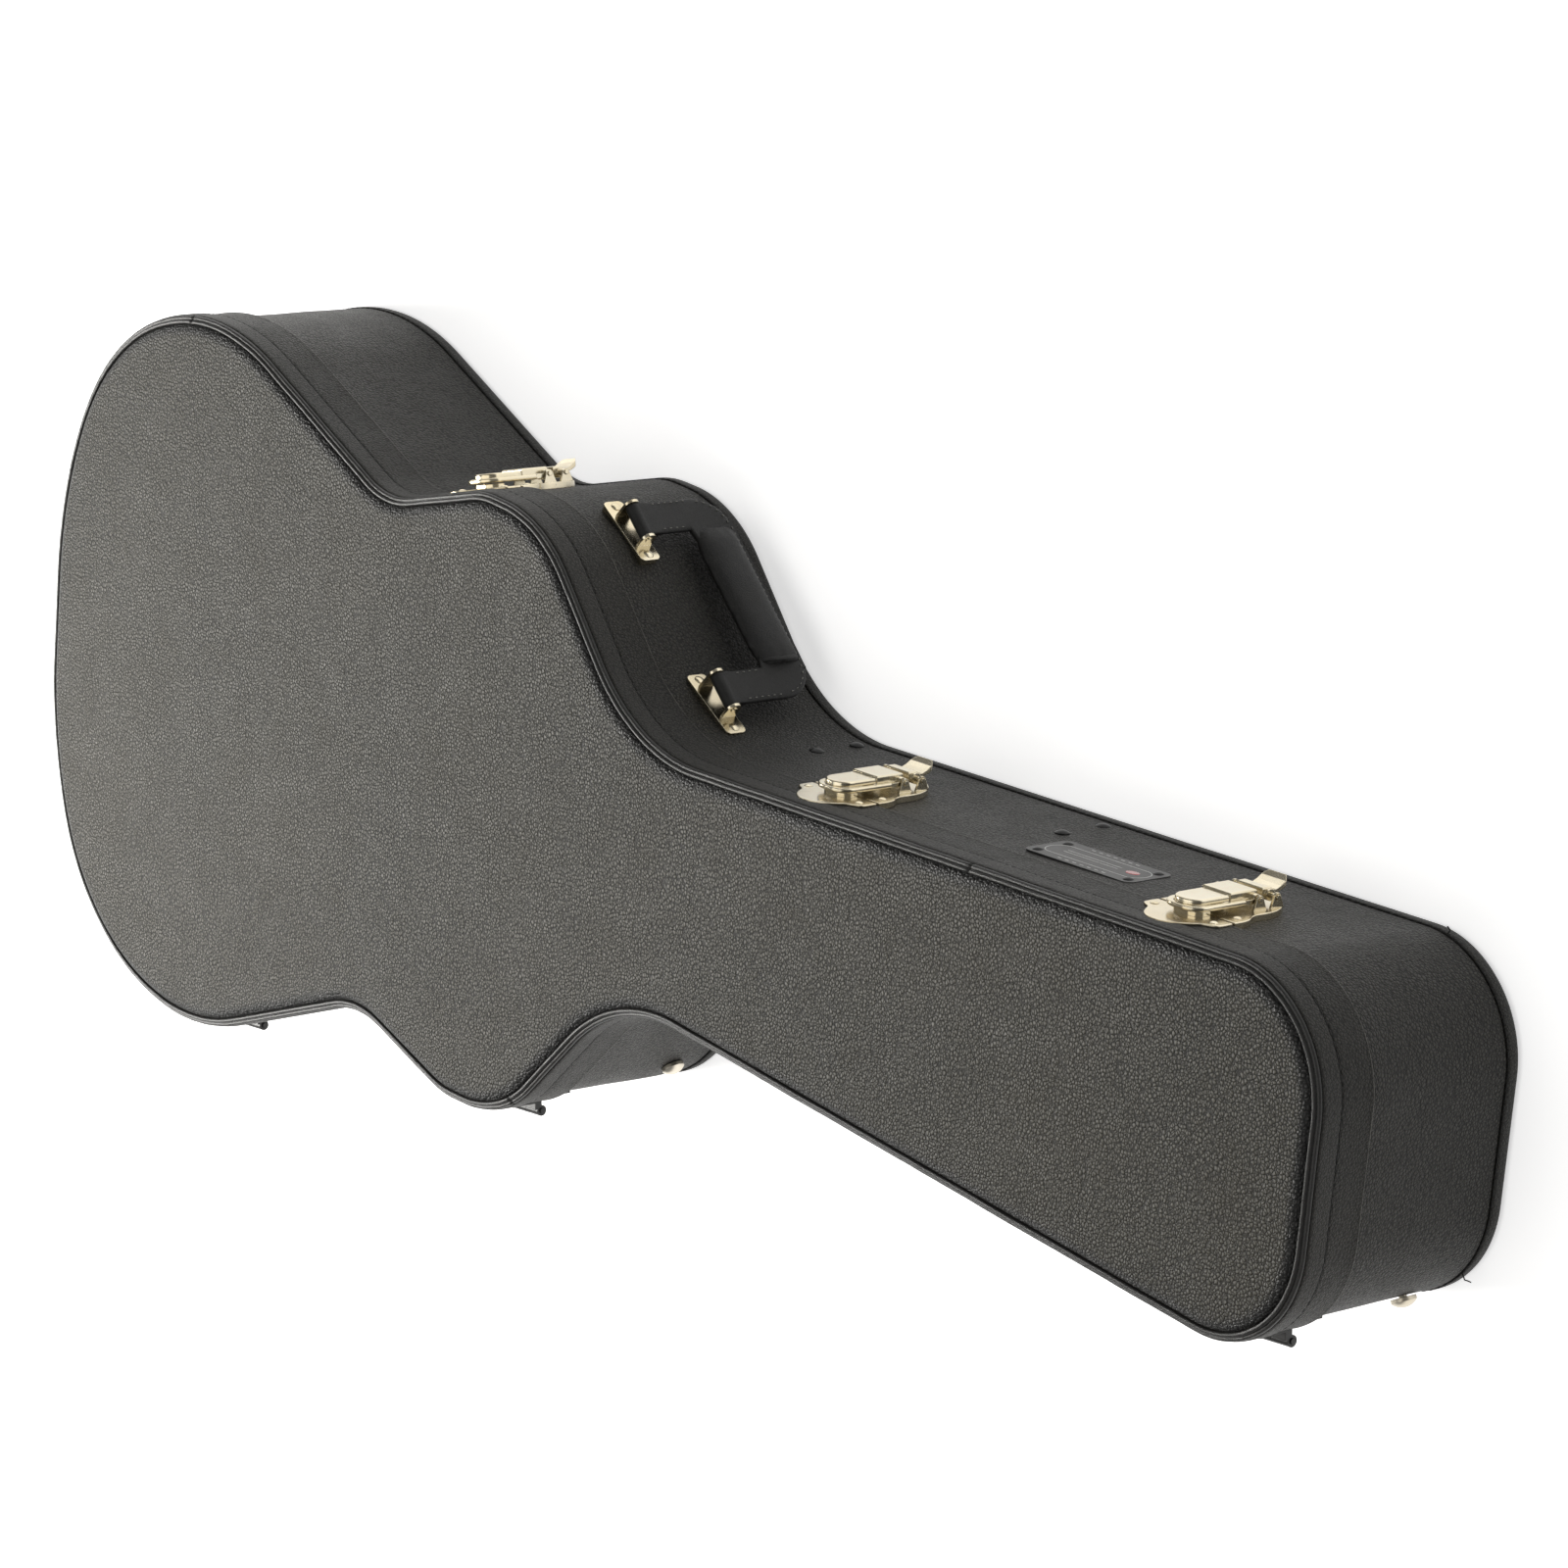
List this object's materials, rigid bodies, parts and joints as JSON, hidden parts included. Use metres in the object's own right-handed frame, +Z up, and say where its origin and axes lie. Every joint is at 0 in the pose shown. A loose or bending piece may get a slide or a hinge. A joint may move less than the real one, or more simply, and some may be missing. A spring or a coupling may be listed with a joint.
{
  "type": "guitar case",
  "caption": "Hard-shell guitar case with hinged lid, draw latches, padded swing handle and a plush-lined interior with a neck block and accessory compartment.",
  "frame": {"origin": "centre of the lid outline, on the ground under the base panel", "axes": "+Z up with the case lying on its back, +X towards the lower bout, -Y the latch and handle side, +Y the hinge side"},
  "size_m": [1.1196, 0.4377, 0.14],
  "materials": {
    "shell_vinyl": "black pebbled vinyl over bent plywood, low sheen",
    "binding_vinyl": "smooth black vinyl binding and bead, stitched, semi-gloss",
    "plush_lining": "short-pile plush over foam",
    "plated_metal": "polished pale brass plating",
    "handle_leather": "black stitched leather-grain vinyl",
    "badge_plastic": "dark grey translucent plate with a plain stitched-look border",
    "black_stud": "black lacquered domed studs",
    "glide_metal": "worn steel dome glides",
    "bare_wood": "plain wood"
  },
  "bodies": {
    "base": {"base_panel": "shell_vinyl", "base_wall_latch_side": "shell_vinyl", "base_wall_hinge_side": "shell_vinyl", "base_edge_binding": "binding_vinyl", "base_floor_lining": "plush_lining", "base_padding_latch_side": "plush_lining", "base_padding_hinge_side": "plush_lining", "compartment_heel_wall": "plush_lining", "compartment_head_wall": "plush_lining", "neck_block": "plush_lining", "compartment_hinge_pin": "plated_metal", "compartment_hinge_rail": "bare_wood", "hinge_base_leaves": "plated_metal", "hinge_pins": "plated_metal", "hinge_base_rivets": "plated_metal", "latch1_base_plate": "plated_metal", "latch2_base_plate": "plated_metal", "latch3_base_plate": "plated_metal", "latch_pins": "plated_metal", "latch_base_rivets": "plated_metal", "handle_plates": "plated_metal", "handle_pins": "plated_metal", "handle_rivets": "plated_metal", "badge_plate": "badge_plastic", "badge_rivets": "black_stud", "compartment_studs": "black_stud", "side_glides": "glide_metal"},
    "lid": {"lid_panel": "shell_vinyl", "lid_wall_latch_side": "shell_vinyl", "lid_wall_hinge_side": "shell_vinyl", "lid_bead": "binding_vinyl", "lid_edge_binding": "binding_vinyl", "lid_lining": "plush_lining", "lid_wall_lining": "plush_lining", "hinge_lid_leaves": "plated_metal", "hinge_lid_rivets": "plated_metal", "latch1_keeper": "plated_metal", "latch2_keeper": "plated_metal", "latch3_keeper": "plated_metal", "latch_lid_rivets": "plated_metal"},
    "handle": {"handle_strap_1": "handle_leather", "handle_strap_2": "handle_leather", "handle_grip": "handle_leather"},
    "compartment_door": {"compartment_lid": "plush_lining", "compartment_pull_tab": "plush_lining"},
    "latch1_bail_loop": {"latch1_bail": "plated_metal"},
    "latch1_thumb_lever": {"latch1_lever": "plated_metal"},
    "latch2_bail_loop": {"latch2_bail": "plated_metal"},
    "latch2_thumb_lever": {"latch2_lever": "plated_metal"},
    "latch3_bail_loop": {"latch3_bail": "plated_metal"},
    "latch3_thumb_lever": {"latch3_lever": "plated_metal"}
  },
  "joints": [
    {"name": "lid_hinge", "type": "hinge", "parent": "base", "child": "lid", "pos_m": [0.09085, 0.17833, 0.1008], "axis": [-0.9909, -0.1344, 0], "range_deg": [0, 100]},
    {"name": "latch1_bail_swing", "type": "hinge", "parent": "base", "child": "latch1_bail_loop", "pos_m": [0.15946, -0.17136, 0.0733], "axis": [0.9613, 0.2756, 0], "range_deg": [0, 95]},
    {"name": "latch1_lever_lift", "type": "hinge", "parent": "base", "child": "latch1_thumb_lever", "pos_m": [0.15946, -0.17136, 0.0618], "axis": [-0.9613, -0.2756, 0], "range_deg": [0, 65]},
    {"name": "latch2_bail_swing", "type": "hinge", "parent": "base", "child": "latch2_bail_loop", "pos_m": [-0.16426, -0.083, 0.0733], "axis": [0.9986, 0.0536, 0], "range_deg": [0, 95]},
    {"name": "latch2_lever_lift", "type": "hinge", "parent": "base", "child": "latch2_thumb_lever", "pos_m": [-0.16426, -0.083, 0.0618], "axis": [-0.9986, -0.0536, 0], "range_deg": [0, 65]},
    {"name": "latch3_bail_swing", "type": "hinge", "parent": "base", "child": "latch3_bail_loop", "pos_m": [-0.42866, -0.09718, 0.0733], "axis": [0.9986, 0.0536, 0], "range_deg": [0, 95]},
    {"name": "latch3_lever_lift", "type": "hinge", "parent": "base", "child": "latch3_thumb_lever", "pos_m": [-0.42866, -0.09718, 0.0618], "axis": [-0.9986, -0.0536, 0], "range_deg": [0, 65]},
    {"name": "handle_swing", "type": "hinge", "parent": "base", "child": "handle", "pos_m": [0.01269, -0.13169, 0.077], "axis": [-0.7545, 0.6564, 0], "range_deg": [0, 120]},
    {"name": "compartment_lid_hinge", "type": "hinge", "parent": "base", "child": "compartment_door", "pos_m": [-0.173, 0.0554, 0.0526], "axis": [-1, 0, 0], "range_deg": [0, 38]}
  ]
}
